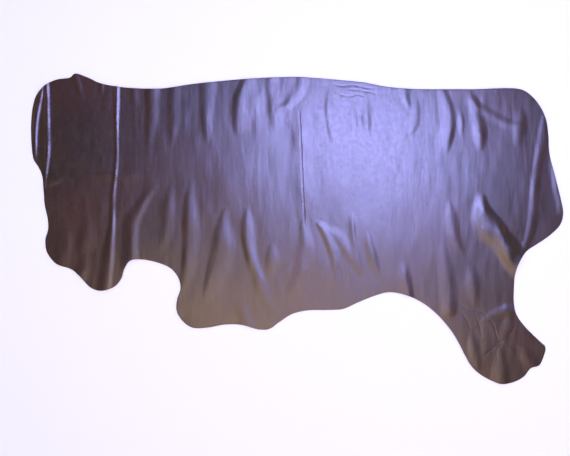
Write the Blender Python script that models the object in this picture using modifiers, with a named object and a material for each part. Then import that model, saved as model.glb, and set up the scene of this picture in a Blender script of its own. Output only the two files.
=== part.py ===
"""A side of cattle leather, laid out on the ground with its grain side up.

One cut sheet. +X runs from the neck to the rump, +Y from the belly to the back
line, and +Z is up. The origin is on the ground, under the middle of the sheet's
rectangle.
"""

import math

import bmesh
import bpy
import numpy as np
from mathutils import Vector
from mathutils.geometry import delaunay_2d_cdt

# Driving sizes, in metres
LENGTH = 2.300          # from the neck edge to the rump
THICKNESS = 0.0016      # four ounce leather

# The tables below are in millimetres on a hide of this length
DRAWN_LENGTH = 2300.0
MM = LENGTH / DRAWN_LENGTH

# How finely the sheet is cut into facets, in metres
RIM_STEP = 0.020
CELL_X = 0.0142
CELL_Y = 0.0500
RIM_CLEARANCE = 0.0095      # between the cut edge and the corners inside it
CREST_POINT_STEP = 0.040    # between the facets' corners along a fold's crest
CREST_CLEARANCE = 0.0090    # between a crest and the corners beside it

# The cut edge, clockwise seen from above, as stretches of x, y in millimetres
OUTLINE = {
    "neck": (
        (-1090, 105), (-1095, 170), (-1100, 225), (-1115, 265), (-1137, 300),
        (-1148, 385), (-1149, 455), (-1142, 525),
    ),
    "poll corner": (
        (-1125, 580), (-1090, 620), (-1040, 645), (-980, 655), (-960, 671),
        (-905, 655),
    ),
    "back line": (
        (-850, 630), (-770, 615), (-690, 608), (-580, 608), (-465, 625),
        (-355, 637), (-205, 650), (-95, 656), (10, 657), (90, 652),
        (185, 644), (285, 634), (380, 616), (490, 606), (750, 604), (965, 604),
    ),
    "rump": (
        (1008, 580), (1050, 530), (1076, 472), (1086, 405), (1091, 325),
        (1113, 235), (1140, 125), (1150, 65), (1138, 20), (1095, -25),
        (1030, -70),
    ),
    "hock notch": (
        (993, -95), (962, -140), (943, -190), (937, -265), (938, -330),
        (948, -370),
    ),
    "hind shank": (
        (985, -422), (1048, -484), (1073, -510), (1064, -555), (1046, -589),
        (1010, -601), (983, -635), (945, -658), (885, -670), (840, -655),
        (790, -627), (752, -590),
    ),
    "flank": (
        (727, -548), (682, -463), (622, -386), (553, -326), (480, -289),
        (400, -273), (340, -287), (262, -318),
    ),
    "belly": (
        (200, -345), (130, -350), (45, -352), (-20, -367), (-75, -401),
    ),
    "brisket": (
        (-120, -432), (-165, -434), (-240, -414), (-315, -413), (-380, -425),
        (-452, -426), (-493, -399), (-520, -353),
    ),
    "armpit": (
        (-518, -305), (-503, -255), (-512, -213), (-545, -171), (-603, -145),
        (-680, -131), (-722, -138),
    ),
    "fore flap": (
        (-746, -172), (-760, -215), (-790, -250), (-850, -267), (-893, -252),
        (-938, -205), (-975, -174),
    ),
    "throat": (
        (-1040, -150), (-1080, -100), (-1087, -48), (-1075, 0), (-1077, 45),
    ),
}

# The ridges that stand up from the ground. Each is a row of stations along its
# crest: x, y, the crest's height, and how far the foot of the left and the right
# flank is from it, as seen when walking along. All are in millimetres.
STATION_COLUMNS = ("x", "y", "height", "left", "right")
HEIGHT, LEFT, RIGHT = map(STATION_COLUMNS.index, ("height", "left", "right"))
FOLDS = {
    "neck curl": (
        (-1135, 270, 0, 15, 15), (-1135, 340, 2.5, 20, 15), (-1130, 430, 3.5, 20, 15),
        (-1120, 525, 3.5, 25, 15), (-1100, 635, 3, 25, 15),
    ),
    "neck pleat": (
        (-1095, 170, 0, 15, 15), (-1090, 225, 2, 20, 15), (-1080, 340, 3.5, 20, 20),
        (-1080, 515, 3.5, 20, 20), (-1085, 645, 3, 20, 20),
    ),
    "poll ripple": (
        (-910, 525, 0, 20, 25), (-935, 590, 1.5, 20, 25), (-960, 670, 2.5, 20, 25),
    ),
    "poll nick": (
        (-850, 565, 0, 15, 20), (-850, 600, 1.5, 15, 20), (-850, 645, 2, 15, 20),
    ),
    "shoulder pleat": (
        (-815, -280, 3.5, 65, 20), (-805, -145, 3, 55, 20), (-800, -5, 3, 25, 20),
        (-795, 125, 2.5, 20, 20), (-785, 210, 2, 15, 15), (-780, 385, 2, 15, 15),
        (-780, 515, 3, 15, 20), (-780, 630, 3, 15, 20),
    ),
    "throat ripple 1": (
        (-930, -145, 0, 45, 50), (-915, -50, 2.5, 45, 55), (-910, 75, 0, 45, 50),
    ),
    "throat ripple 2": (
        (-940, -210, 3, 40, 40), (-920, -160, 2, 40, 40), (-910, -100, 0, 35, 35),
    ),
    "throat ripple 3": (
        (-1015, -145, 2.5, 45, 45), (-1000, -50, 2, 45, 45), (-1005, 60, 0, 45, 45),
    ),
    "throat edge": (
        (-1100, 195, 2.5, 40, 25), (-1060, 205, 2.5, 45, 25), (-1015, 215, 1.5, 45, 25),
        (-980, 230, 0, 35, 25),
    ),
    "shoulder cross": (
        (-870, 225, 0, 25, 40), (-825, 235, 1.5, 25, 40), (-730, 230, 2, 25, 40),
        (-655, 220, 0, 25, 40),
    ),
    "withers ripple 1": (
        (-695, 525, 0, 25, 35), (-705, 575, 1.5, 25, 35), (-705, 645, 2, 25, 35),
    ),
    "withers ripple 2": (
        (-645, 280, 0, 40, 45), (-635, 405, 1.5, 40, 50), (-625, 525, 3, 40, 50),
        (-625, 645, 4.5, 40, 55),
    ),
    "withers ripple 3": (
        (-540, 340, 0, 35, 40), (-535, 470, 1.5, 35, 40), (-525, 645, 2, 35, 40),
    ),
    "rib ripple 1": (
        (-385, 365, 0, 35, 45), (-395, 445, 2.5, 35, 50), (-395, 535, 4, 40, 50),
        (-395, 660, 4.5, 40, 55),
    ),
    "rib ripple 2": (
        (-255, 400, 0, 40, 85), (-260, 480, 3, 40, 105), (-250, 560, 3.5, 40, 110),
        (-210, 655, 1.5, 40, 85),
    ),
    "rib ripple 3": (
        (-95, 410, 0, 25, 45), (-100, 490, 2.5, 30, 55), (-110, 575, 2.5, 25, 45),
        (-110, 670, 2.5, 25, 45),
    ),
    "waist slant": (
        (25, 670, 2.5, 30, 35), (5, 590, 2.5, 30, 35), (-35, 535, 2.5, 25, 30),
        (-95, 515, 0, 25, 25),
    ),
    "waist crest": (
        (40, -50, 0, 50, 60), (30, 105, 1.5, 60, 80), (20, 275, 2, 65, 85),
        (15, 450, 2, 55, 80), (10, 575, 0, 45, 50),
    ),
    "loin ripple 1": (
        (155, 375, 0, 20, 35), (145, 435, 2, 20, 40), (135, 505, 2, 20, 40),
        (140, 585, 1, 20, 35), (145, 625, 0, 20, 35),
    ),
    "loin ripple 2": (
        (255, 400, 0, 35, 20), (245, 470, 1.5, 35, 20), (245, 560, 0, 35, 20),
    ),
    "loin ripple 3": (
        (315, 385, 0, 40, 25), (305, 455, 2.5, 40, 25), (300, 530, 2, 40, 25),
        (295, 590, 0, 40, 25),
    ),
    "loin tuck": (
        (485, 515, 0, 25, 25), (465, 565, 3, 30, 30), (455, 645, 5, 35, 35),
    ),
    "loin arc": (
        (445, 395, 0, 30, 25), (490, 435, 1.5, 35, 30), (510, 505, 1.5, 35, 30),
        (510, 575, 0, 35, 30),
    ),
    "croup ripple 1": (
        (650, 315, 0, 35, 30), (655, 385, 3.5, 45, 30), (660, 455, 4.5, 50, 30),
        (650, 525, 4, 50, 30), (625, 610, 2, 50, 30),
    ),
    "croup ripple 2": (
        (710, 395, 0, 25, 20), (710, 455, 2, 25, 20), (700, 525, 0, 25, 20),
    ),
    "croup ripple 3": (
        (795, 335, 0, 40, 35), (795, 400, 3.5, 45, 35), (785, 470, 4, 45, 35),
        (760, 550, 2, 40, 35), (740, 590, 0, 35, 35),
    ),
    "croup ripple 4": (
        (955, 350, 0, 45, 35), (965, 435, 2.5, 50, 40), (975, 525, 0, 45, 35),
    ),
    "croup slant": (
        (1000, 435, 0, 30, 30), (920, 455, 2, 30, 30), (850, 485, 2, 30, 30),
        (790, 525, 1.5, 30, 30), (750, 575, 0, 30, 30),
    ),
    "rump ridge": (
        (975, -125, 2.5, 25, 25), (1000, -40, 2.5, 25, 25), (1020, 110, 3, 25, 30),
        (1040, 275, 3, 25, 30), (1060, 400, 3, 25, 25), (1070, 490, 1.5, 20, 20),
    ),
    "rump lip": (
        (1150, 75, 2, 40, 25), (1135, 170, 3.5, 40, 25), (1110, 265, 2.5, 35, 25),
        (1095, 340, 0, 35, 25),
    ),
    "big slant": (
        (995, -185, 10.5, 70, 55), (950, -135, 10, 75, 60), (890, -55, 9.5, 75, 65),
        (830, 20, 8.5, 85, 65), (810, 85, 5, 85, 45), (800, 155, 0, 70, 35),
    ),
    "thigh ripple": (
        (720, -110, 0, 35, 35), (685, -40, 2.5, 40, 35), (670, 40, 3, 40, 35),
        (655, 125, 0, 35, 30),
    ),
    "armpit ripple 1": (
        (-720, -150, 4.5, 50, 40), (-720, -55, 4, 50, 40), (-705, 45, 3.5, 50, 40),
        (-660, 120, 2, 45, 45), (-600, 195, 0, 45, 45),
    ),
    "armpit ripple 2": (
        (-585, -100, 0, 45, 50), (-565, 15, 2.5, 45, 55), (-555, 100, 2.5, 45, 50),
        (-545, 195, 0, 45, 50),
    ),
    "brisket ripple 1": (
        (-505, -290, 0, 45, 50), (-475, -175, 3, 40, 50), (-465, -70, 3.5, 40, 55),
        (-465, 60, 3.5, 35, 55), (-465, 145, 1.5, 35, 50), (-455, 220, 0, 35, 45),
    ),
    "brisket ripple 2": (
        (-400, -335, 0, 40, 70), (-365, -210, 3.5, 40, 80), (-340, -100, 4, 40, 80),
        (-330, 5, 3.5, 35, 75), (-305, 100, 0, 30, 45),
    ),
    "brisket ripple 3": (
        (-105, -375, 0, 50, 45), (-145, -270, 2.5, 50, 50), (-190, -160, 4, 35, 50),
        (-215, -70, 4.5, 30, 50), (-220, 15, 3.5, 30, 50), (-215, 100, 0, 25, 40),
    ),
    "brisket ripple 4": (
        (-210, -435, 2.5, 50, 50), (-235, -360, 1.5, 50, 50), (-265, -290, 0, 45, 45),
    ),
    "belly ripple 1": (
        (-115, -210, 0, 25, 50), (-115, -130, 2.5, 25, 55), (-110, -55, 0, 25, 50),
    ),
    "belly ripple 2": (
        (-50, -305, 0, 40, 40), (0, -225, 2.5, 45, 45), (25, -145, 3.5, 45, 50),
        (30, -70, 3.5, 40, 50), (30, -5, 2, 35, 45), (30, 50, 0, 30, 35),
    ),
    "belly ripple 3": (
        (175, -255, 0, 20, 35), (160, -150, 2.5, 20, 40), (140, -75, 2.5, 20, 40),
        (110, -5, 2.5, 20, 40), (75, 35, 0, 20, 35),
    ),
    "belly slant": (
        (285, -210, 0, 25, 35), (255, -160, 2.5, 30, 40), (210, -90, 3, 30, 40),
        (170, -30, 2.5, 30, 40), (125, 15, 0, 25, 35),
    ),
    "belly wrinkle 1": (
        (200, -270, 0, 15, 15), (195, -205, 1, 15, 15), (185, -145, 0, 15, 15),
    ),
    "belly wrinkle 2": (
        (240, -270, 0, 15, 15), (235, -210, 1, 15, 15), (220, -160, 0, 15, 15),
    ),
    "flank ripple 1": (
        (285, -205, 0, 30, 20), (260, -125, 2.5, 30, 20), (245, -50, 3, 30, 20),
        (240, 25, 2, 30, 20), (240, 80, 0, 30, 15),
    ),
    "flank ripple 2": (
        (365, -230, 0, 30, 25), (335, -150, 3, 35, 25), (315, -75, 3.5, 35, 25),
        (300, -5, 2, 30, 20), (285, 55, 0, 30, 20),
    ),
    "flank ripple 3": (
        (475, -305, 4, 50, 35), (465, -225, 3.5, 50, 35), (465, -135, 0, 40, 35),
    ),
    "flank ripple 4": (
        (660, -350, 3.5, 50, 45), (650, -250, 4, 50, 45), (640, -145, 2, 50, 45),
        (630, -50, 0, 45, 40),
    ),
    "flank ripple 5": (
        (775, -335, 0, 45, 40), (765, -245, 2.5, 45, 40), (755, -150, 0, 40, 40),
    ),
    "hock ridge": (
        (985, -345, 4, 50, 40), (905, -355, 4, 50, 40), (845, -375, 2.5, 45, 35),
        (790, -410, 0, 40, 35),
    ),
    "shank slant": (
        (900, -505, 0, 35, 30), (905, -445, 2.5, 35, 30), (925, -385, 1.5, 35, 30),
        (940, -340, 0, 30, 25),
    ),
    "shank ripple 1": (
        (780, -590, 2, 30, 30), (765, -515, 3, 30, 30), (755, -435, 0, 25, 25),
    ),
    "shank ripple 2": (
        (890, -695, 4, 60, 30), (890, -600, 3.5, 60, 30), (880, -505, 0, 50, 30),
    ),
    "shank ripple 3": (
        (1025, -600, 2, 45, 40), (990, -540, 2, 45, 40), (955, -490, 0, 40, 35),
    ),
}
CREST_STEPS = 8         # straight pieces between two stations
END_WIDTH = 0.45        # share of its width that a fold keeps where it dies out
# A fold's line wanders by up to half of WANDER to each side, and its height changes by
# up to the share HEIGHT_CHANGE. The cells are the lengths over which they do, in metres.
WANDER = 0.012
WANDER_CELL = (0.060, 0.140)
WANDER_SEEDS = (31, 32)
HEIGHT_CHANGE = 0.35
HEIGHT_CELL = (0.050, 0.075)
HEIGHT_SEED = 33

# The rectangle over which random swells are laid, in metres
SWELL_LOW = (-1.30, -0.80)
SWELL_HIGH = (1.30, 0.80)

LEATHER_COLOUR = (0.070, 0.045, 0.046, 1.0)
LEATHER_ROUGHNESS = 0.38


def smooth_path(stations, pieces, closed=False):
    """Return a smooth line through stations, with pieces(length) parts in each span.

    It is a centripetal Catmull-Rom curve in x and y, which doesn't swing out at close
    points. Further columns of the stations are carried along with it.
    """
    stations = [np.array(p, dtype=float) for p in stations]
    count = len(stations)
    spans = count if closed else count - 1
    path = []
    for i in range(spans):
        p1 = stations[i]
        p2 = stations[(i + 1) % count]
        p0 = stations[i - 1] if closed or i > 0 else 2 * p1 - p2
        p3 = stations[(i + 2) % count] if closed or i + 2 < count else 2 * p2 - p1
        t1 = math.sqrt(math.dist(p0[:2], p1[:2]))
        t2 = t1 + math.sqrt(math.dist(p1[:2], p2[:2]))
        t3 = t2 + math.sqrt(math.dist(p2[:2], p3[:2]))
        parts = pieces(math.dist(p1[:2], p2[:2]))
        for k in range(parts):
            t = t1 + (t2 - t1) * k / parts
            a1 = p0 + (p1 - p0) * t / t1
            a2 = p1 + (p2 - p1) * (t - t1) / (t2 - t1)
            a3 = p2 + (p3 - p2) * (t - t2) / (t3 - t2)
            b1 = a1 + (a2 - a1) * t / t2
            b2 = a2 + (a3 - a2) * (t - t1) / (t3 - t1)
            path.append(b1 + (b2 - b1) * (t - t1) / (t2 - t1))
    if not closed:
        path.append(stations[-1])
    return np.array(path)


def cut_edge(step):
    """Return the closed outline in metres, a point about every step."""
    corners = [p for stretch in OUTLINE.values() for p in stretch]
    return smooth_path(np.array(corners) * MM, lambda span: max(1, round(span / step)), closed=True)


def nearest_on_path(places, path):
    """For each place, return its distance to the path, the path's columns there, and its side.

    The side is positive to the left of the path.
    """
    best = np.full(len(places), np.inf)
    there = np.zeros((len(places), path.shape[1]))
    side = np.zeros(len(places))
    for start, end in zip(path[:-1], path[1:]):
        run = (end - start)[:2]
        offset = places - start[:2]
        share = np.clip(offset @ run / (run @ run), 0.0, 1.0)
        gap = np.linalg.norm(offset - share[:, None] * run, axis=1)
        closer = gap < best
        best[closer] = gap[closer]
        there[closer] = start + share[closer, None] * (end - start)
        side[closer] = (run[0] * offset[:, 1] - run[1] * offset[:, 0])[closer]
    return best, there, side


def inside_outline(places, ring):
    """Say which places lie inside the closed ring."""
    inside = np.zeros(len(places), dtype=bool)
    for a, b in zip(ring, np.roll(ring, -1, axis=0)):
        crosses = (a[1] > places[:, 1]) != (b[1] > places[:, 1])
        if a[1] != b[1]:
            at_x = a[0] + (places[:, 1] - a[1]) * (b[0] - a[0]) / (b[1] - a[1])
            inside ^= crosses & (places[:, 0] < at_x)
    return inside


def ease(share):
    """A smooth step from 0 to 1."""
    share = np.clip(share, 0.0, 1.0)
    return share * share * (3.0 - 2.0 * share)


def swell(places, size_x, size_y, seed):
    """Return smooth bumps from 0 to 1 over cells of that size in metres."""
    cells = (size_x, size_y)
    count = np.ceil(np.subtract(SWELL_HIGH, SWELL_LOW) / cells).astype(int) + 2
    knots = np.random.default_rng(seed).uniform(0.0, 1.0, count)
    across = (places - SWELL_LOW) / cells
    cell = across.astype(int)
    share = ease(across - cell)
    x, y = cell.T
    near = knots[x, y] * (1 - share[:, 0]) + knots[x + 1, y] * share[:, 0]
    far = knots[x, y + 1] * (1 - share[:, 0]) + knots[x + 1, y + 1] * share[:, 0]
    return near * (1 - share[:, 1]) + far * share[:, 1]


def wander(places):
    """Return how far the folds' lines are shifted at each place."""
    shifts = [swell(places, *WANDER_CELL, seed) - 0.5 for seed in WANDER_SEEDS]
    return WANDER * np.stack(shifts, axis=1)


def ridges(places, folds):
    """Return how high the ridges stand at each place."""
    change = 2.0 * swell(places, *HEIGHT_CELL, HEIGHT_SEED) - 1.0
    places = places + wander(places)
    height = np.zeros(len(places))
    for stations in folds.values():
        crest = smooth_path(np.array(stations) * MM, lambda span: CREST_STEPS)
        reach = crest[:, LEFT:].max()
        low, high = crest[:, :2].min(axis=0) - reach, crest[:, :2].max(axis=0) + reach
        near = np.all((places > low) & (places < high), axis=1)
        away, there, side = nearest_on_path(places[near], crest)
        rise = np.maximum(there[:, HEIGHT], 0.0)
        foot = np.where(side > 0, there[:, LEFT], there[:, RIGHT])
        foot = foot * (END_WIDTH + (1.0 - END_WIDTH) * rise / crest[:, HEIGHT].max())
        bump = 0.5 + 0.5 * np.cos(math.pi * np.clip(away / foot, 0.0, 1.0))
        height[near] += rise * bump
    return height * (1.0 + HEIGHT_CHANGE * change)


def clear_of(places, others, distance):
    """Return the places that are at least that far from all the others."""
    gaps = np.array([np.linalg.norm(others - place, axis=1).min() for place in places])
    return places[gaps > distance]


def crest_points(ring):
    """Return points along every crest, clear of the cut edge."""
    points = []
    for stations in FOLDS.values():
        crest = smooth_path(
            np.array(stations) * MM, lambda span: max(1, round(span / CREST_POINT_STEP))
        )
        line = crest[crest[:, HEIGHT] > 0.0, :2]
        line = line - wander(line)
        line = line[inside_outline(line, ring)]
        if points:
            line = clear_of(line, np.vstack(points), CREST_CLEARANCE)
        points.append(line)
    return clear_of(np.vstack(points), ring, RIM_CLEARANCE)


def facet_points(ring):
    """Return the points inside the cut edge: those on crests, and a grid between them."""
    low, high = ring.min(axis=0), ring.max(axis=0)
    columns = np.arange(low[0] + CELL_X / 2, high[0], CELL_X)
    rows = np.arange(low[1] + CELL_Y / 2, high[1], CELL_Y)
    grid = np.array([(x, y) for x in columns for y in rows])
    grid = clear_of(grid[inside_outline(grid, ring)], ring, RIM_CLEARANCE)
    crests = crest_points(ring)
    return np.vstack([crests, clear_of(grid, crests, CREST_CLEARANCE)])


def leather():
    """The dyed, lightly waxed grain side."""
    material = bpy.data.materials.new("leather")
    material.use_nodes = True
    shader = material.node_tree.nodes["Principled BSDF"]
    shader.inputs["Base Color"].default_value = LEATHER_COLOUR
    shader.inputs["Roughness"].default_value = LEATHER_ROUGHNESS
    shader.inputs["Metallic"].default_value = 0.0
    return material


def hide(collection):
    """The whole sheet: its outline filled with facets, lifted into folds, then thickened."""
    ring = cut_edge(RIM_STEP)
    places = np.vstack([ring, facet_points(ring)])
    rim = [(i, (i + 1) % len(ring)) for i in range(len(ring))]
    inside_only = 1
    merge_below = 1e-6
    flat, _, faces, _, _, _ = delaunay_2d_cdt(
        [Vector(p) for p in places], rim, [], inside_only, merge_below
    )
    heights = ridges(np.array([(p.x, p.y) for p in flat]), FOLDS)

    model = bmesh.new()
    corners = [model.verts.new((p.x, p.y, z)) for p, z in zip(flat, heights)]
    for face in faces:
        model.faces.new([corners[i] for i in face])
    bmesh.ops.recalc_face_normals(model, faces=model.faces)
    if sum(face.normal.z for face in model.faces) < 0:
        bmesh.ops.reverse_faces(model, faces=model.faces)

    mesh = bpy.data.meshes.new("hide")
    model.to_mesh(mesh)
    model.free()
    mesh.shade_smooth()
    sheet = bpy.data.objects.new("hide", mesh)
    collection.objects.link(sheet)

    thicken = sheet.modifiers.new("thickness", "SOLIDIFY")
    thicken.thickness = THICKNESS
    thicken.offset = 1.0        # the drawn surface is the underside
    sheet.data.materials.append(leather())
    return sheet


def main():
    for old in list(bpy.data.objects):
        bpy.data.objects.remove(old, do_unlink=True)
    collection = bpy.data.collections.new("leather_hide")
    bpy.context.scene.collection.children.link(collection)
    hide(collection)


main()
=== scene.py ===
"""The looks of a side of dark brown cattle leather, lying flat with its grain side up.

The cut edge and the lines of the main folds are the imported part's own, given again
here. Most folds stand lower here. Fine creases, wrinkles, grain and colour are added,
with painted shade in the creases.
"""

import math

import bmesh
import bpy
import numpy as np
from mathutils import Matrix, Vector
from mathutils.geometry import delaunay_2d_cdt


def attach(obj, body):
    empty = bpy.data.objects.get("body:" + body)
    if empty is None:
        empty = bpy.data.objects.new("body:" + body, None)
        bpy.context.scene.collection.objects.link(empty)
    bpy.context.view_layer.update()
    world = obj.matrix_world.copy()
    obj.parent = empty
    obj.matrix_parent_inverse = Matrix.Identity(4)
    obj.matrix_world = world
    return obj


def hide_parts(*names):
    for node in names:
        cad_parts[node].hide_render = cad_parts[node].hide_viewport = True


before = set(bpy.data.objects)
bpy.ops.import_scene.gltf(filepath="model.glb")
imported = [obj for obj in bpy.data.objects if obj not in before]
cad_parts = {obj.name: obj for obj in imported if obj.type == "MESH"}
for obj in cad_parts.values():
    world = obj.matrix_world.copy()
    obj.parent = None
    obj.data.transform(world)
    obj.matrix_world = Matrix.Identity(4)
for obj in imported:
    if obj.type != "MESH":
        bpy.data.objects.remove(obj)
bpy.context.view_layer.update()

# Driving sizes, in metres
LENGTH = 2.300
THICKNESS = 0.0016
MM = LENGTH / 2300.0        # one millimetre of the tables below

# The photograph: its size in pixels, where the origin is in it, and its scale
PHOTO_WIDTH, PHOTO_HEIGHT = 570, 456
ORIGIN_PIXEL = (297.0, 229.0)
METRES_A_PIXEL = LENGTH / 532.0

# How finely the grain side and the flesh side are cut into facets, in metres
RIM_STEP = 0.0050
TOP_CELL = (0.0043, 0.0085)
UNDER_CELL = (0.0120, 0.0160)
RIM_CLEARANCE = 0.0042

# The cut edge, clockwise seen from above, as stretches of x, y in millimetres
OUTLINE = {
    "neck": (
        (-1090, 105), (-1095, 170), (-1100, 225), (-1115, 265), (-1137, 300),
        (-1148, 385), (-1149, 455), (-1142, 525),
    ),
    "poll corner": (
        (-1125, 580), (-1090, 620), (-1040, 645), (-980, 655), (-960, 671),
        (-905, 655),
    ),
    "back line": (
        (-850, 630), (-770, 615), (-690, 608), (-580, 608), (-465, 625),
        (-355, 637), (-205, 650), (-95, 656), (10, 657), (90, 652),
        (185, 644), (285, 634), (380, 616), (490, 606), (750, 604), (965, 604),
    ),
    "rump": (
        (1008, 580), (1050, 530), (1076, 472), (1086, 405), (1091, 325),
        (1113, 235), (1140, 125), (1150, 65), (1138, 20), (1095, -25),
        (1030, -70),
    ),
    "hock notch": (
        (993, -95), (962, -140), (943, -190), (937, -265), (938, -330),
        (948, -370),
    ),
    "hind shank": (
        (985, -422), (1048, -484), (1073, -510), (1064, -555), (1046, -589),
        (1010, -601), (983, -635), (945, -658), (885, -670), (840, -655),
        (790, -627), (752, -590),
    ),
    "flank": (
        (727, -548), (682, -463), (622, -386), (553, -326), (480, -289),
        (400, -273), (340, -287), (262, -318),
    ),
    "belly": (
        (200, -345), (130, -350), (45, -352), (-20, -367), (-75, -401),
    ),
    "brisket": (
        (-120, -432), (-165, -434), (-240, -414), (-315, -413), (-380, -425),
        (-452, -426), (-493, -399), (-520, -353),
    ),
    "armpit": (
        (-518, -305), (-503, -255), (-512, -213), (-545, -171), (-603, -145),
        (-680, -131), (-722, -138),
    ),
    "fore flap": (
        (-746, -172), (-760, -215), (-790, -250), (-850, -267), (-893, -252),
        (-938, -205), (-975, -174),
    ),
    "throat": (
        (-1040, -150), (-1080, -100), (-1087, -48), (-1075, 0), (-1077, 45),
    ),
}

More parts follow.
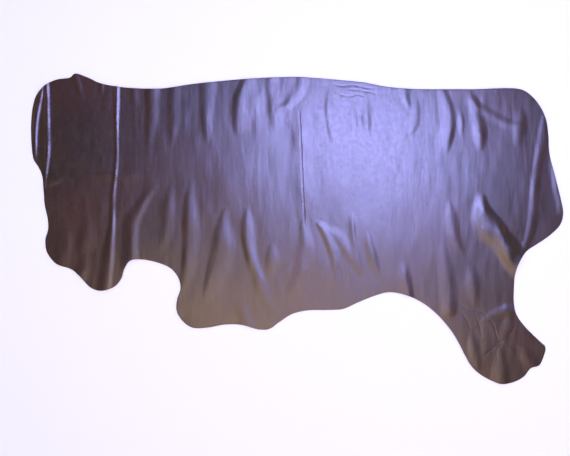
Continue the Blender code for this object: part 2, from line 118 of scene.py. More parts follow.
# The ridges that stand up from the ground. Each is a row of stations along its
# crest: x, y, the crest's height, and how far the foot of the left and the right
# flank is from it, as seen when walking along. All are in millimetres.
STATION_COLUMNS = ("x", "y", "height", "left", "right")
HEIGHT, LEFT, RIGHT = map(STATION_COLUMNS.index, ("height", "left", "right"))
FOLDS = {
    "neck curl": (
        (-1135, 270, 0, 15, 15), (-1135, 340, 2.5, 20, 15), (-1130, 430, 3.5, 20, 15),
        (-1120, 525, 3.5, 25, 15), (-1100, 635, 3, 25, 15),
    ),
    "neck pleat": (
        (-1095, 170, 0, 15, 15), (-1090, 225, 2, 20, 15), (-1080, 340, 3.5, 20, 20),
        (-1080, 515, 3.5, 20, 20), (-1085, 645, 3, 20, 20),
    ),
    "poll ripple": (
        (-910, 525, 0, 20, 25), (-935, 590, 1.5, 20, 25), (-960, 670, 2.5, 20, 25),
    ),
    "poll nick": (
        (-850, 565, 0, 15, 20), (-850, 600, 1.5, 15, 20), (-850, 645, 2, 15, 20),
    ),
    "shoulder pleat": (
        (-815, -280, 3.5, 65, 20), (-805, -145, 3, 55, 20), (-800, -5, 3, 25, 20),
        (-795, 125, 2.5, 20, 20), (-785, 210, 2, 15, 15), (-780, 385, 2, 15, 15),
        (-780, 515, 3, 15, 20), (-780, 630, 3, 15, 20),
    ),
    "throat ripple 1": (
        (-930, -145, 0, 45, 50), (-915, -50, 2.5, 45, 55), (-910, 75, 0, 45, 50),
    ),
    "throat ripple 2": (
        (-940, -210, 3, 40, 40), (-920, -160, 2, 40, 40), (-910, -100, 0, 35, 35),
    ),
    "throat ripple 3": (
        (-1015, -145, 2.5, 45, 45), (-1000, -50, 2, 45, 45), (-1005, 60, 0, 45, 45),
    ),
    "throat edge": (
        (-1100, 195, 2.5, 40, 25), (-1060, 205, 2.5, 45, 25), (-1015, 215, 1.5, 45, 25),
        (-980, 230, 0, 35, 25),
    ),
    "shoulder cross": (
        (-870, 225, 0, 25, 40), (-825, 235, 1.5, 25, 40), (-730, 230, 2, 25, 40),
        (-655, 220, 0, 25, 40),
    ),
    "withers ripple 1": (
        (-695, 525, 0, 25, 35), (-705, 575, 1.5, 25, 35), (-705, 645, 2, 25, 35),
    ),
    "withers ripple 2": (
        (-645, 280, 0, 40, 45), (-635, 405, 1.5, 40, 50), (-625, 525, 3, 40, 50),
        (-625, 645, 4.5, 40, 55),
    ),
    "withers ripple 3": (
        (-540, 340, 0, 35, 40), (-535, 470, 1.5, 35, 40), (-525, 645, 2, 35, 40),
    ),
    "rib ripple 1": (
        (-385, 365, 0, 35, 45), (-395, 445, 2.5, 35, 50), (-395, 535, 4, 40, 50),
        (-395, 660, 4.5, 40, 55),
    ),
    "rib ripple 2": (
        (-255, 400, 0, 40, 85), (-260, 480, 3, 40, 105), (-250, 560, 3.5, 40, 110),
        (-210, 655, 1.5, 40, 85),
    ),
    "rib ripple 3": (
        (-95, 410, 0, 25, 45), (-100, 490, 2.5, 30, 55), (-110, 575, 2.5, 25, 45),
        (-110, 670, 2.5, 25, 45),
    ),
    "waist slant": (
        (25, 670, 2.5, 30, 35), (5, 590, 2.5, 30, 35), (-35, 535, 2.5, 25, 30),
        (-95, 515, 0, 25, 25),
    ),
    "waist crest": (
        (40, -50, 0, 50, 60), (30, 105, 1.5, 60, 80), (20, 275, 2, 65, 85),
        (15, 450, 2, 55, 80), (10, 575, 0, 45, 50),
    ),
    "loin ripple 1": (
        (155, 375, 0, 20, 35), (145, 435, 2, 20, 40), (135, 505, 2, 20, 40),
        (140, 585, 1, 20, 35), (145, 625, 0, 20, 35),
    ),
    "loin ripple 2": (
        (255, 400, 0, 35, 20), (245, 470, 1.5, 35, 20), (245, 560, 0, 35, 20),
    ),
    "loin ripple 3": (
        (315, 385, 0, 40, 25), (305, 455, 2.5, 40, 25), (300, 530, 2, 40, 25),
        (295, 590, 0, 40, 25),
    ),
    "loin tuck": (
        (485, 515, 0, 25, 25), (465, 565, 3, 30, 30), (455, 645, 5, 35, 35),
    ),
    "loin arc": (
        (445, 395, 0, 30, 25), (490, 435, 1.5, 35, 30), (510, 505, 1.5, 35, 30),
        (510, 575, 0, 35, 30),
    ),
    "croup ripple 1": (
        (650, 315, 0, 35, 30), (655, 385, 3.5, 45, 30), (660, 455, 4.5, 50, 30),
        (650, 525, 4, 50, 30), (625, 610, 2, 50, 30),
    ),
    "croup ripple 2": (
        (710, 395, 0, 25, 20), (710, 455, 2, 25, 20), (700, 525, 0, 25, 20),
    ),
    "croup ripple 3": (
        (795, 335, 0, 40, 35), (795, 400, 3.5, 45, 35), (785, 470, 4, 45, 35),
        (760, 550, 2, 40, 35), (740, 590, 0, 35, 35),
    ),
    "croup ripple 4": (
        (955, 350, 0, 45, 35), (965, 435, 2.5, 50, 40), (975, 525, 0, 45, 35),
    ),
    "croup slant": (
        (1000, 435, 0, 30, 30), (920, 455, 2, 30, 30), (850, 485, 2, 30, 30),
        (790, 525, 1.5, 30, 30), (750, 575, 0, 30, 30),
    ),
    "rump ridge": (
        (975, -125, 2.5, 25, 25), (1000, -40, 2.5, 25, 25), (1020, 110, 3, 25, 30),
        (1040, 275, 3, 25, 30), (1060, 400, 3, 25, 25), (1070, 490, 1.5, 20, 20),
    ),
    "rump lip": (
        (1150, 75, 2, 40, 25), (1135, 170, 3.5, 40, 25), (1110, 265, 2.5, 35, 25),
        (1095, 340, 0, 35, 25),
    ),
    "big slant": (
        (995, -185, 10.5, 70, 55), (950, -135, 10, 75, 60), (890, -55, 9.5, 75, 65),
        (830, 20, 8.5, 85, 65), (810, 85, 5, 85, 45), (800, 155, 0, 70, 35),
    ),
    "thigh ripple": (
        (720, -110, 0, 35, 35), (685, -40, 2.5, 40, 35), (670, 40, 3, 40, 35),
        (655, 125, 0, 35, 30),
    ),
    "armpit ripple 1": (
        (-720, -150, 4.5, 50, 40), (-720, -55, 4, 50, 40), (-705, 45, 3.5, 50, 40),
        (-660, 120, 2, 45, 45), (-600, 195, 0, 45, 45),
    ),
    "armpit ripple 2": (
        (-585, -100, 0, 45, 50), (-565, 15, 2.5, 45, 55), (-555, 100, 2.5, 45, 50),
        (-545, 195, 0, 45, 50),
    ),
    "brisket ripple 1": (
        (-505, -290, 0, 45, 50), (-475, -175, 3, 40, 50), (-465, -70, 3.5, 40, 55),
        (-465, 60, 3.5, 35, 55), (-465, 145, 1.5, 35, 50), (-455, 220, 0, 35, 45),
    ),
    "brisket ripple 2": (
        (-400, -335, 0, 40, 70), (-365, -210, 3.5, 40, 80), (-340, -100, 4, 40, 80),
        (-330, 5, 3.5, 35, 75), (-305, 100, 0, 30, 45),
    ),
    "brisket ripple 3": (
        (-105, -375, 0, 50, 45), (-145, -270, 2.5, 50, 50), (-190, -160, 4, 35, 50),
        (-215, -70, 4.5, 30, 50), (-220, 15, 3.5, 30, 50), (-215, 100, 0, 25, 40),
    ),
    "brisket ripple 4": (
        (-210, -435, 2.5, 50, 50), (-235, -360, 1.5, 50, 50), (-265, -290, 0, 45, 45),
    ),
    "belly ripple 1": (
        (-115, -210, 0, 25, 50), (-115, -130, 2.5, 25, 55), (-110, -55, 0, 25, 50),
    ),
    "belly ripple 2": (
        (-50, -305, 0, 40, 40), (0, -225, 2.5, 45, 45), (25, -145, 3.5, 45, 50),
        (30, -70, 3.5, 40, 50), (30, -5, 2, 35, 45), (30, 50, 0, 30, 35),
    ),
    "belly ripple 3": (
        (175, -255, 0, 20, 35), (160, -150, 2.5, 20, 40), (140, -75, 2.5, 20, 40),
        (110, -5, 2.5, 20, 40), (75, 35, 0, 20, 35),
    ),
    "belly slant": (
        (285, -210, 0, 25, 35), (255, -160, 2.5, 30, 40), (210, -90, 3, 30, 40),
        (170, -30, 2.5, 30, 40), (125, 15, 0, 25, 35),
    ),
    "belly wrinkle 1": (
        (200, -270, 0, 15, 15), (195, -205, 1, 15, 15), (185, -145, 0, 15, 15),
    ),
    "belly wrinkle 2": (
        (240, -270, 0, 15, 15), (235, -210, 1, 15, 15), (220, -160, 0, 15, 15),
    ),
    "flank ripple 1": (
        (285, -205, 0, 30, 20), (260, -125, 2.5, 30, 20), (245, -50, 3, 30, 20),
        (240, 25, 2, 30, 20), (240, 80, 0, 30, 15),
    ),
    "flank ripple 2": (
        (365, -230, 0, 30, 25), (335, -150, 3, 35, 25), (315, -75, 3.5, 35, 25),
        (300, -5, 2, 30, 20), (285, 55, 0, 30, 20),
    ),
    "flank ripple 3": (
        (475, -305, 4, 50, 35), (465, -225, 3.5, 50, 35), (465, -135, 0, 40, 35),
    ),
    "flank ripple 4": (
        (660, -350, 3.5, 50, 45), (650, -250, 4, 50, 45), (640, -145, 2, 50, 45),
        (630, -50, 0, 45, 40),
    ),
    "flank ripple 5": (
        (775, -335, 0, 45, 40), (765, -245, 2.5, 45, 40), (755, -150, 0, 40, 40),
    ),
    "hock ridge": (
        (985, -345, 4, 50, 40), (905, -355, 4, 50, 40), (845, -375, 2.5, 45, 35),
        (790, -410, 0, 40, 35),
    ),
    "shank slant": (
        (900, -505, 0, 35, 30), (905, -445, 2.5, 35, 30), (925, -385, 1.5, 35, 30),
        (940, -340, 0, 30, 25),
    ),
    "shank ripple 1": (
        (780, -590, 2, 30, 30), (765, -515, 3, 30, 30), (755, -435, 0, 25, 25),
    ),
    "shank ripple 2": (
        (890, -695, 4, 60, 30), (890, -600, 3.5, 60, 30), (880, -505, 0, 50, 30),
    ),
    "shank ripple 3": (
        (1025, -600, 2, 45, 40), (990, -540, 2, 45, 40), (955, -490, 0, 40, 35),
    ),
}
CREST_STEPS = 8         # straight pieces between two stations
END_WIDTH = 0.45        # share of its width that a fold keeps where it dies out
# At the solid's full height the folds' light and dark sides come out harder than in the
# photograph. The fine sheet keeps only this share of a fold's height.
RELIEF = 0.66
OTHER_RELIEF = {
    "neck curl": 1.0, "neck pleat": 1.0, "shoulder pleat": 1.0, "big slant": 0.9,
    "rib ripple 1": 0.5, "rib ripple 3": 0.45, "waist slant": 0.5, "loin tuck": 0.5,
    "croup ripple 1": 0.5, "croup ripple 2": 0.5, "croup ripple 3": 0.5, "croup slant": 0.5,
    "rump ridge": 0.45, "belly slant": 0.4, "flank ripple 1": 0.4, "flank ripple 2": 0.4,
    "shank ripple 1": 0.45, "shank ripple 2": 0.45, "shank slant": 0.45, "hock ridge": 0.55,
}
# A fold's line wanders by up to half of WANDER to each side, and its height changes by
# up to the share HEIGHT_CHANGE. The cells are the lengths over which they do, in metres.
WANDER = 0.012
WANDER_CELL = (0.060, 0.140)
WANDER_SEEDS = (31, 32)
HEIGHT_CHANGE = 0.35
HEIGHT_CELL = (0.050, 0.075)
HEIGHT_SEED = 33

# The rectangle over which random swells are laid, in metres
SWELL_LOW = (-1.30, -0.80)
SWELL_HIGH = (1.30, 0.80)

# Fine creases pressed into the grain side: depth, half width, and the points that
# each runs through, in millimetres. They fade out over their last stretch.
CREASES = {
    "back crease": (0.85, 2.6, ((9, 520), (17, 380), (22, 250), (27, 150), (35, -8))),
    "loin edge 1": (0.5, 2.4, ((150, 630), (190, 618), (240, 622), (290, 612), (340, 606))),
    "loin edge 2": (0.4, 2.2, ((170, 588), (215, 572), (262, 580), (300, 570))),
    "loin edge 3": (0.35, 2.2, ((205, 606), (255, 600), (300, 594), (352, 582))),
    "loin edge 4": (0.35, 2.2, ((148, 560), (160, 590), (152, 622))),
    "loin edge 5": (0.35, 2.2, ((262, 634), (270, 600), (262, 570))),
    "hock wrinkle 1": (0.42, 3.2, ((690, -315), (735, -348), (790, -356), (830, -382))),
    "hock wrinkle 2": (0.45, 3.2, ((822, -384), (850, -418), (862, -462), (876, -490))),
    "hock wrinkle 3": (0.35, 3.0, ((750, -440), (792, -416), (828, -396))),
    "hock wrinkle 4": (0.4, 3.2, ((782, -490), (832, -486), (876, -488), (912, -470))),
    "hock wrinkle 5": (0.35, 3.0, ((905, -470), (935, -430), (952, -395))),
    "hock wrinkle 6": (0.35, 3.0, ((876, -492), (862, -530), (868, -575))),
    "hock wrinkle 7": (0.35, 3.0, ((872, -494), (835, -525), (790, -560))),
    "hock wrinkle 8": (0.35, 3.0, ((768, -370), (792, -430), (800, -482))),
    "hock wrinkle 9": (0.3, 2.8, ((900, -492), (945, -520), (990, -532))),
    "hock wrinkle 10": (0.3, 2.8, ((700, -350), (735, -398), (752, -445))),
    "hock wrinkle 11": (0.3, 2.8, ((852, -415), (880, -405), (912, -412))),
    "belly crease 1": (0.25, 2.4, ((186, -150), (192, -190), (196, -232))),
    "belly crease 2": (0.25, 2.4, ((216, -140), (226, -190), (232, -236))),
    "groin crease": (0.2, 2.6, ((760, 60), (800, 15), (872, -70), (930, -135))),
}
CREASE_STEP = 0.006     # between the facets' corners along a crease, in metres
CREASE_FADE = 0.030     # over which a crease ends, in metres

# Slight unevenness of the sheet between the folds: the size of its swells in x and
# in y and their height, in millimetres, and the seed of their places
SWELLS = (
    (210, 260, 1.4, 11),
    (90, 120, 0.8, 12),
    (45, 90, 0.65, 15),
    (24, 90, 0.38, 13),
    (12, 50, 0.09, 14),
)
# Crumpled areas: middle, reach across and along, in millimetres
CRUMPLES = (
    (-180, 560, 190, 120),
    (240, 600, 170, 70),
    (760, 480, 240, 140),
    (860, -470, 170, 170),
    (120, -130, 260, 120),
)
CRUMPLE_SIZE = 34       # of one dent, in millimetres
CRUMPLE_DEPTH = 0.45
CRUMPLE_NARROWING = 0.6     # width of the second set of dents, as a share of the first
CRUMPLE_SEEDS = (21, 22)
CRUMPLE_EDGE = 1.4      # how steeply a crumpled area ends, higher is steeper

CUT_ROUNDING = 0.0015   # width over which the grain side bends down to the cut edge
CUT_DROP = 0.00012
SHARP_ANGLE = math.radians(55)      # edges that bend more than this aren't smoothed
MERGE_BELOW = 0.0004    # corners nearer than this, in metres, are joined


def smooth_path(stations, pieces, closed=False):
    """Return a smooth line through stations, with pieces(length) parts in each span.

    It is a centripetal Catmull-Rom curve in x and y, which doesn't swing out at close
    points. Further columns of the stations are carried along with it.
    """
    stations = [np.array(p, dtype=float) for p in stations]
    count = len(stations)
    spans = count if closed else count - 1
    path = []
    for i in range(spans):
        p1 = stations[i]
        p2 = stations[(i + 1) % count]
        p0 = stations[i - 1] if closed or i > 0 else 2 * p1 - p2
        p3 = stations[(i + 2) % count] if closed or i + 2 < count else 2 * p2 - p1
        t1 = math.sqrt(math.dist(p0[:2], p1[:2]))
        t2 = t1 + math.sqrt(math.dist(p1[:2], p2[:2]))
        t3 = t2 + math.sqrt(math.dist(p2[:2], p3[:2]))
        parts = pieces(math.dist(p1[:2], p2[:2]))
        for k in range(parts):
            t = t1 + (t2 - t1) * k / parts
            a1 = p0 + (p1 - p0) * t / t1
            a2 = p1 + (p2 - p1) * (t - t1) / (t2 - t1)
            a3 = p2 + (p3 - p2) * (t - t2) / (t3 - t2)
            b1 = a1 + (a2 - a1) * t / t2
            b2 = a2 + (a3 - a2) * (t - t1) / (t3 - t1)
            path.append(b1 + (b2 - b1) * (t - t1) / (t2 - t1))
    if not closed:
        path.append(stations[-1])
    return np.array(path)


def cut_edge(step):
    """Return the closed outline in metres, a point about every step."""
    corners = [p for stretch in OUTLINE.values() for p in stretch]
    return smooth_path(np.array(corners) * MM, lambda span: max(1, round(span / step)), closed=True)


def nearest_on_path(places, path):
    """For each place, return its distance to the path, the path's columns there, and its side.

    The side is positive to the left of the path.
    """
    best = np.full(len(places), np.inf)
    there = np.zeros((len(places), path.shape[1]))
    side = np.zeros(len(places))
    for start, end in zip(path[:-1], path[1:]):
        run = (end - start)[:2]
        offset = places - start[:2]
        share = np.clip(offset @ run / (run @ run), 0.0, 1.0)
        gap = np.linalg.norm(offset - share[:, None] * run, axis=1)
        closer = gap < best
        best[closer] = gap[closer]
        there[closer] = start + share[closer, None] * (end - start)
        side[closer] = (run[0] * offset[:, 1] - run[1] * offset[:, 0])[closer]
    return best, there, side


def inside_outline(places, ring):
    """Say which places lie inside the closed ring."""
    inside = np.zeros(len(places), dtype=bool)
    for a, b in zip(ring, np.roll(ring, -1, axis=0)):
        crosses = (a[1] > places[:, 1]) != (b[1] > places[:, 1])
        if a[1] != b[1]:
            at_x = a[0] + (places[:, 1] - a[1]) * (b[0] - a[0]) / (b[1] - a[1])
            inside ^= crosses & (places[:, 0] < at_x)
    return inside


def ridges(places, folds):
    """Return how high the ridges stand at each place."""
    change = 2.0 * swell(places, *HEIGHT_CELL, HEIGHT_SEED) - 1.0
    places = places + wander(places)
    height = np.zeros(len(places))
    for name, stations in folds.items():
        relief = OTHER_RELIEF.get(name, RELIEF)
        crest = smooth_path(np.array(stations) * MM, lambda span: CREST_STEPS)
        reach = crest[:, LEFT:].max()
        low, high = crest[:, :2].min(axis=0) - reach, crest[:, :2].max(axis=0) + reach
        near = np.all((places > low) & (places < high), axis=1)
        away, there, side = nearest_on_path(places[near], crest)
        rise = np.maximum(there[:, HEIGHT], 0.0)
        foot = np.where(side > 0, there[:, LEFT], there[:, RIGHT])
        foot = foot * (END_WIDTH + (1.0 - END_WIDTH) * rise / crest[:, HEIGHT].max())
        bump = 0.5 + 0.5 * np.cos(math.pi * np.clip(away / foot, 0.0, 1.0))
        height[near] += relief * rise * bump
    return height * (1.0 + HEIGHT_CHANGE * change)


def ease(share):
    """A smooth step from 0 to 1."""
    share = np.clip(share, 0.0, 1.0)
    return share * share * (3.0 - 2.0 * share)


def swell(places, size_x, size_y, seed):
    """Return smooth bumps from 0 to 1 over cells of that size in metres."""
    cells = (size_x, size_y)
    count = np.ceil(np.subtract(SWELL_HIGH, SWELL_LOW) / cells).astype(int) + 2
    knots = np.random.default_rng(seed).uniform(0.0, 1.0, count)
    across = (places - SWELL_LOW) / cells
    cell = across.astype(int)
    share = ease(across - cell)
    x, y = cell.T
    near = knots[x, y] * (1 - share[:, 0]) + knots[x + 1, y] * share[:, 0]
    far = knots[x, y + 1] * (1 - share[:, 0]) + knots[x + 1, y + 1] * share[:, 0]
    return near * (1 - share[:, 1]) + far * share[:, 1]


def wander(places):
    """Return how far the folds' lines are shifted at each place."""
    shifts = [swell(places, *WANDER_CELL, seed) - 0.5 for seed in WANDER_SEEDS]
    return WANDER * np.stack(shifts, axis=1)


def unevenness(places):
    """The sheet's slight swells, and the dents of its crumpled areas."""
    height = np.zeros(len(places))
    for size_x, size_y, rise, seed in SWELLS:
        height += rise * MM * swell(places, size_x * MM, size_y * MM, seed)
    length = CRUMPLE_SIZE * MM
    dents = swell(places, length, length, CRUMPLE_SEEDS[0])
    dents = dents * swell(places, CRUMPLE_NARROWING * length, length, CRUMPLE_SEEDS[1])
    share = np.zeros(len(places))
    for x, y, reach_x, reach_y in CRUMPLES:
        away = np.hypot((places[:, 0] / MM - x) / reach_x, (places[:, 1] / MM - y) / reach_y)
        share = np.maximum(share, ease(CRUMPLE_EDGE * (1.0 - away)))
    return height + share * CRUMPLE_DEPTH * MM * dents


def crease_rails(ring):
    """Return for each crease its centre line, and the corners that its groove needs."""
    rails = []
    for depth, half_width, points in CREASES.values():
        path = smooth_path(np.array(points) * MM, lambda span: max(2, round(span / CREASE_STEP)))
        path = path[inside_outline(path, ring)]
        along = np.gradient(path, axis=0)
        across = np.stack((-along[:, 1], along[:, 0]), axis=1)
        across /= np.linalg.norm(across, axis=1)[:, None]
        sides = [path + s * half_width * MM * across for s in (-1, 1)]
        rails.append((depth * MM, half_width * MM, path, np.vstack([path, *sides])))
    return rails


def crease_share(places, rails):
    """Return how deep the creases go at each place, and how much of a crease it is, which sets
    their painted shade.
    """
    depth = np.zeros(len(places))
    share = np.zeros(len(places))
    for deepest, half_width, path, _ in rails:
        low, high = path.min(axis=0) - half_width, path.max(axis=0) + half_width
        near = np.where(np.all((places > low) & (places < high), axis=1))[0]
        steps = np.linalg.norm(np.diff(path, axis=0), axis=1)
        passed = np.concatenate(([0.0], np.cumsum(steps)))
        stations = np.column_stack((path, passed))
        away, there, _ = nearest_on_path(places[near], stations)
        ends = np.minimum(there[:, 2], passed[-1] - there[:, 2])
        here = np.clip(1.0 - away / half_width, 0.0, 1.0) * ease(ends / CREASE_FADE)
        depth[near] = np.maximum(depth[near], deepest * here)
        share[near] = np.maximum(share[near], here)
    return depth, share


def clear_of(grid, places, distance):
    """Return the grid's points that are at least that far from all places."""
    order = np.argsort(grid[:, 0])
    grid = grid[order]
    keep = np.ones(len(grid), dtype=bool)
    for place in places:
        first, last = np.searchsorted(grid[:, 0], (place[0] - distance, place[0] + distance))
        block = grid[first:last]
        keep[first:last] &= np.sum((block - place) ** 2, axis=1) > distance**2
    return grid[keep]


def facet_points(ring, cell):
    """Return the grid of points inside the cut edge, clear of it."""
    low, high = ring.min(axis=0), ring.max(axis=0)
    columns = np.arange(low[0] + cell[0] / 2, high[0], cell[0])
    rows = np.arange(low[1] + cell[1] / 2, high[1], cell[1])
    grid = np.stack(np.meshgrid(columns, rows, indexing="ij"), axis=-1).reshape(-1, 2)
    grid = grid[inside_outline(grid, ring)]
    return clear_of(grid, ring, RIM_CLEARANCE)


def filled(ring, cell, rails=()):
    """Return the corners and facets that fill the ring. The ring's own points come first."""
    grid = facet_points(ring, cell)
    extra = []
    for _, half_width, _, corners in rails:
        grid = clear_of(grid, corners, half_width)
        extra.append(corners)
    if rails:
        forward = np.roll(ring, -1, axis=0) - np.roll(ring, 1, axis=0)
        inward = np.stack((forward[:, 1], -forward[:, 0]), axis=1)
        inward /= np.linalg.norm(inward, axis=1)[:, None]
        inner = ring + inward * CUT_ROUNDING
        extra = [clear_of(c, ring, RIM_CLEARANCE) for c in extra] + [inner]
    places = np.vstack([ring, grid, *extra])
    rim = [(i, (i + 1) % len(ring)) for i in range(len(ring))]
    inside_only = 1
    flat, _, faces, _, _, _ = delaunay_2d_cdt(
        [Vector(p) for p in places], rim, [], inside_only, MERGE_BELOW
    )
    return np.array([(p.x, p.y) for p in flat]), faces


def make_hide(grain_side, flesh_side):
    """Build the closed sheet: a fine grain side over a plainer flesh side, joined at the rim."""
    ring = cut_edge(RIM_STEP)
    rails = crease_rails(ring)
    top, top_faces = filled(ring, TOP_CELL, rails)
    under, under_faces = filled(ring, UNDER_CELL)
    depth, crease_shade_share = crease_share(top, rails)
    top_height = ridges(top, FOLDS) + unevenness(top) + THICKNESS - depth
    top_height[:len(ring)] -= CUT_DROP
    under_height = ridges(under, FOLDS) + unevenness(under)
    clear_of_ground = under_height.min()
    top_height -= clear_of_ground
    under_height -= clear_of_ground

    model = bmesh.new()
    upper = [model.verts.new((x, y, z)) for (x, y), z in zip(top, top_height)]
    lower = [model.verts.new((x, y, z)) for (x, y), z in zip(under, under_height)]
    for face in top_faces:
        model.faces.new([upper[i] for i in face])
    for face in under_faces:
        model.faces.new([lower[i] for i in reversed(face)]).material_index = 1
    for i in range(len(ring)):
        j = (i + 1) % len(ring)
        model.faces.new((upper[i], lower[i], lower[j], upper[j])).material_index = 1
    bmesh.ops.recalc_face_normals(model, faces=model.faces)
    mesh = bpy.data.meshes.new("leather_sheet")
    model.to_mesh(mesh)
    model.free()
    mesh.shade_smooth()
    mesh.set_sharp_from_angle(angle=SHARP_ANGLE)
    # Where the creases' painted shade goes
    crease_shade_attribute = mesh.attributes.new("crease", "FLOAT", "POINT")
    values = np.zeros(len(mesh.vertices), np.float32)
    values[:len(top)] = crease_shade_share
    crease_shade_attribute.data.foreach_set("value", values)
    hide = bpy.data.objects.new("leather_sheet", mesh)
    bpy.context.scene.collection.objects.link(hide)
    mesh.materials.append(grain_side)
    mesh.materials.append(flesh_side)
    return hide


class Nodes:
    """Adds nodes to a material and joins them up."""

    def __init__(self, name):
        self.material = bpy.data.materials.new(name)
        self.material.use_nodes = True
        self.tree = self.material.node_tree
        self.shader = self.tree.nodes["Principled BSDF"]
        place = self.add("ShaderNodeTexCoord")
        self.place = place.outputs["Object"]

    def add(self, kind, **inputs):
        node = self.tree.nodes.new(kind)
        for name, value in inputs.items():
            socket = node.inputs[name.replace("_", " ")]
            if isinstance(value, bpy.types.NodeSocket):
                self.tree.links.new(value, socket)
            else:
                socket.default_value = value
        return node

    def join(self, output, node, name):
        self.tree.links.new(output, node.inputs[name])

    def stretched(self, x, y, z):
        """The place, with each axis made longer or shorter."""
        node = self.add("ShaderNodeMapping", Vector=self.place)
        node.inputs["Scale"].default_value = (x, y, z)
        return node.outputs["Vector"]

    def noise(self, scale, detail=2.0, roughness=0.5, place=None):
        node = self.add(
            "ShaderNodeTexNoise", Vector=place or self.place, Scale=scale, Detail=detail,
            Roughness=roughness,
        )
        return node.outputs["Fac"]

    def ramp(self, value, low, high, start, end):
        """Map value from low..high to start..end."""
        node = self.add("ShaderNodeMapRange", Value=value)
        node.inputs["From Min"].default_value = low
        node.inputs["From Max"].default_value = high
        node.inputs["To Min"].default_value = start
        node.inputs["To Max"].default_value = end
        return node.outputs["Result"]

    def mix(self, share, first, second):
        node = self.tree.nodes.new("ShaderNodeMix")
        node.data_type = "RGBA"
        for index, value in ((0, share), (6, first), (7, second)):
            if isinstance(value, bpy.types.NodeSocket):
                self.tree.links.new(value, node.inputs[index])
            else:
                node.inputs[index].default_value = value
        return node.outputs[2]

    def bump(self, height, distance, strength=1.0, before=None):
        node = self.add("ShaderNodeBump", Height=height, Distance=distance, Strength=strength)
        if before is not None:
            self.join(before, node, "Normal")
        return node.outputs["Normal"]


DARK_BROWN = (0.0215, 0.0095, 0.0058, 1)
RED_BROWN = (0.0430, 0.0120, 0.0085, 1)
DRY_BROWN = (0.0370, 0.0220, 0.0100, 1)
# Painted shade, laid into the creases' grooves
CREASE_PAINTED_SHADE = (0.0080, 0.0045, 0.0040, 1)
FLESH_BROWN = (0.105, 0.066, 0.045, 1)
FLESH_PALE = (0.190, 0.130, 0.092, 1)
FLESH_DARK = (0.052, 0.032, 0.024, 1)

# The grain side: cells of its noise to a metre, and bump depths in metres
PATCHES_A_METRE = 2.6
MOTTLE_A_METRE = (40, 16, 16)
SHINE_PATCHES_A_METRE = 60.0
STREAKS_A_METRE = (75, 13, 13)
DENTS_A_METRE = 75.0
PEBBLES_A_METRE = 300.0
STREAK_DEPTH, DENT_DEPTH, PEBBLE_DEPTH = 0.0003, 0.00012, 0.00010
PEBBLE_STRENGTH = 0.45
LEATHER_ROUGHNESS = (0.285, 0.335)
LEATHER_SPECULAR = 0.9
LEATHER_TINT = (0.96, 0.90, 0.93, 1)

# The flesh side, in the same units
NAP_A_METRE = 420.0
STAINS_A_METRE = 3.5
FIBRES_A_METRE = (70, 18, 18)
LUMPS_A_METRE = 45.0
FUZZ_A_METRE = 700.0
LUMP_DEPTH, FUZZ_DEPTH = 0.0025, 0.0004
FLESH_ROUGHNESS = 0.92
FLESH_SPECULAR = 0.2


def leather_material():
    """The finished grain side: drum dyed, lightly waxed, with a fine pebble, and painted shade in
    its creases.
    """
    made = Nodes("leather_grain")
    shader = made.shader
    patches = made.ramp(made.noise(PATCHES_A_METRE, 3.0), 0.38, 0.66, 0.0, 1.0)
    mottle = made.noise(1.0, 4.0, 0.6, made.stretched(*MOTTLE_A_METRE))
    mottle = made.ramp(mottle, 0.40, 0.68, 0.0, 0.8)
    colour = made.mix(patches, DARK_BROWN, RED_BROWN)
    colour = made.mix(mottle, colour, DRY_BROWN)
    # Painted shade: the creases are coloured darker, standing in for the shade in their grooves
    crease = made.tree.nodes.new("ShaderNodeAttribute")
    crease.attribute_name = "crease"
    colour = made.mix(crease.outputs["Fac"], colour, CREASE_PAINTED_SHADE)
    made.join(colour, shader, "Base Color")

    rough = made.ramp(made.noise(SHINE_PATCHES_A_METRE, 3.0), 0.3, 0.7, *LEATHER_ROUGHNESS)
    made.join(rough, shader, "Roughness")
    shader.inputs["Specular IOR Level"].default_value = LEATHER_SPECULAR
    shader.inputs["Specular Tint"].default_value = LEATHER_TINT

    pebble = made.add("ShaderNodeTexVoronoi", Vector=made.place, Scale=PEBBLES_A_METRE)
    pebble.feature = "SMOOTH_F1"
    pebble.inputs["Smoothness"].default_value = 0.35
    streaks = made.noise(1.0, 2.0, 0.5, made.stretched(*STREAKS_A_METRE))
    dents = made.noise(DENTS_A_METRE, 3.0, 0.55)
    normal = made.bump(streaks, STREAK_DEPTH)
    normal = made.bump(dents, DENT_DEPTH, before=normal)
    pebbled = pebble.outputs["Distance"]
    normal = made.bump(pebbled, PEBBLE_DEPTH, PEBBLE_STRENGTH, before=normal)
    made.join(normal, shader, "Normal")
    return made.material


def flesh_material():
    """The suede flesh side and the fibres of the cut edge."""
    made = Nodes("leather_flesh")
    shader = made.shader
    nap = made.ramp(made.noise(NAP_A_METRE, 3.0, 0.7), 0.35, 0.65, 0.0, 1.0)
    stains = made.ramp(made.noise(STAINS_A_METRE, 4.0), 0.38, 0.64, 0.0, 0.75)
    fibres = made.noise(1.0, 5.0, 0.65, made.stretched(*FIBRES_A_METRE))
    fibres = made.ramp(fibres, 0.42, 0.66, 0.0, 0.8)
    colour = made.mix(nap, FLESH_BROWN, FLESH_PALE)
    colour = made.mix(stains, colour, FLESH_DARK)
    colour = made.mix(fibres, colour, FLESH_PALE)
    made.join(colour, shader, "Base Color")
    shader.inputs["Roughness"].default_value = FLESH_ROUGHNESS
    shader.inputs["Specular IOR Level"].default_value = FLESH_SPECULAR
    normal = made.bump(made.noise(LUMPS_A_METRE, 4.0, 0.6), LUMP_DEPTH)
    normal = made.bump(made.noise(FUZZ_A_METRE, 3.0, 0.7), FUZZ_DEPTH, before=normal)
    made.join(normal, shader, "Normal")
    return made.material


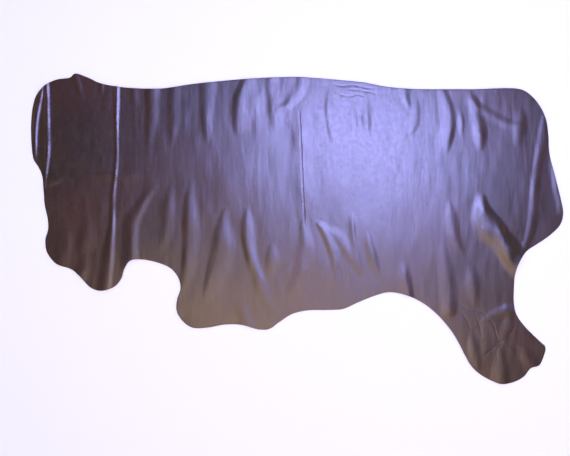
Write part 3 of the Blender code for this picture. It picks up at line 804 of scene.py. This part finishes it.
def soft_box(name, place, aim, size, colour, radiance):
    """A large soft lamp that faces aim, with the given radiance."""
    data = bpy.data.lights.new(name, "AREA")
    data.shape = "RECTANGLE"
    data.size, data.size_y = size
    data.color = colour
    data.energy = radiance * math.pi * size[0] * size[1]
    lamp = bpy.data.objects.new(name, data)
    lamp.location = place
    lamp.rotation_euler = (Vector(aim) - Vector(place)).to_track_quat("-Z", "Y").to_euler()
    bpy.context.scene.collection.objects.link(lamp)


def photo_place(px, py):
    """The place on the ground that the photograph shows at a pixel."""
    return (
        (px - ORIGIN_PIXEL[0]) * METRES_A_PIXEL,
        (ORIGIN_PIXEL[1] - py) * METRES_A_PIXEL,
    )


# The camera looks straight down, as in the photograph
LENS, SENSOR = 60.0, 36.0
VIEW_WIDTH = PHOTO_WIDTH * METRES_A_PIXEL
CAMERA_HEIGHT = VIEW_WIDTH * LENS / SENSOR
CAMERA_X, CAMERA_Y = photo_place(PHOTO_WIDTH / 2, PHOTO_HEIGHT / 2)

camera_data = bpy.data.cameras.new("camera")
camera_data.lens = LENS
camera_data.sensor_width = SENSOR
camera = bpy.data.objects.new("camera", camera_data)
camera.location = (CAMERA_X, CAMERA_Y, CAMERA_HEIGHT)
bpy.context.scene.collection.objects.link(camera)
bpy.context.scene.camera = camera

hide = make_hide(leather_material(), flesh_material())
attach(hide, "root")
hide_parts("hide")

# The floor, and how far it reaches and lies below the hide, in metres
FLOOR_HALF_WIDTH = 12
FLOOR_DROP = 0.0004
FLOOR_COLOUR = (0.93, 0.94, 0.90, 1)
FLOOR_ROUGHNESS = 0.9
FLOOR_SPECULAR = 0.1

floor_mesh = bpy.data.meshes.new("floor")
floor_model = bmesh.new()
bmesh.ops.create_grid(floor_model, x_segments=1, y_segments=1, size=FLOOR_HALF_WIDTH)
floor_model.to_mesh(floor_mesh)
floor_model.free()
floor = bpy.data.objects.new("floor", floor_mesh)
floor.location.z = -FLOOR_DROP
bpy.context.scene.collection.objects.link(floor)
pale = bpy.data.materials.new("pale_floor")
pale.use_nodes = True
pale_shader = pale.node_tree.nodes["Principled BSDF"]
pale_shader.inputs["Base Color"].default_value = FLOOR_COLOUR
pale_shader.inputs["Roughness"].default_value = FLOOR_ROUGHNESS
pale_shader.inputs["Specular IOR Level"].default_value = FLOOR_SPECULAR
floor_mesh.materials.append(pale)


def mirrored(px, py, height):
    """Where a lamp at that height has to be for the flat hide to mirror it at a pixel."""
    x, y = photo_place(px, py)
    share = height / CAMERA_HEIGHT
    return (x + (x - CAMERA_X) * share, y + (y - CAMERA_Y) * share, height)


# Lamps. The flat hide mirrors the middle of the first two at these pixels. Sizes,
# heights and places are in metres.
PANEL_HEIGHT = 4.0
SKY_PIXEL, SKY_AIM, SKY_SIZE = (358, 136), (0.25, 0.3, 0), (1.55, 1.15)
SKY_COLOUR, SKY_RADIANCE = (0.390, 0.430, 1.0), 30.5
WARM_PIXEL, WARM_AIM, WARM_SIZE = (300, 345), (0.2, -0.3, 0), (2.8, 0.9)
WARM_COLOUR, WARM_RADIANCE = (1.0, 0.73, 0.47), 5.4
SIDE_PLACES = ((-5, 2.5), (5, 2.5), (-5, -2.5), (5, -2.5), (0, 5.5), (0, -5.5))
SIDE_HEIGHT, SIDE_AIM, SIDE_SIZE = 2.4, (0, 0, 0), (2.5, 2.0)
SIDE_COLOUR, SIDE_RADIANCE = (1.0, 0.94, 0.82), 4.4
WORLD_STRENGTH = 0.08

sky_place = mirrored(*SKY_PIXEL, PANEL_HEIGHT)
soft_box("sky_panel", sky_place, SKY_AIM, SKY_SIZE, SKY_COLOUR, SKY_RADIANCE)
warm_place = mirrored(*WARM_PIXEL, PANEL_HEIGHT)
soft_box("warm_panel", warm_place, WARM_AIM, WARM_SIZE, WARM_COLOUR, WARM_RADIANCE)
for x, y in SIDE_PLACES:
    side_place = (x, y, SIDE_HEIGHT)
    soft_box("side_panel", side_place, SIDE_AIM, SIDE_SIZE, SIDE_COLOUR, SIDE_RADIANCE)

world = bpy.data.worlds.new("studio")
world.use_nodes = True
world.node_tree.nodes["Background"].inputs["Color"].default_value = (1, 1, 1, 1)
world.node_tree.nodes["Background"].inputs["Strength"].default_value = WORLD_STRENGTH
bpy.context.scene.world = world
bpy.context.scene.view_settings.view_transform = "Standard"
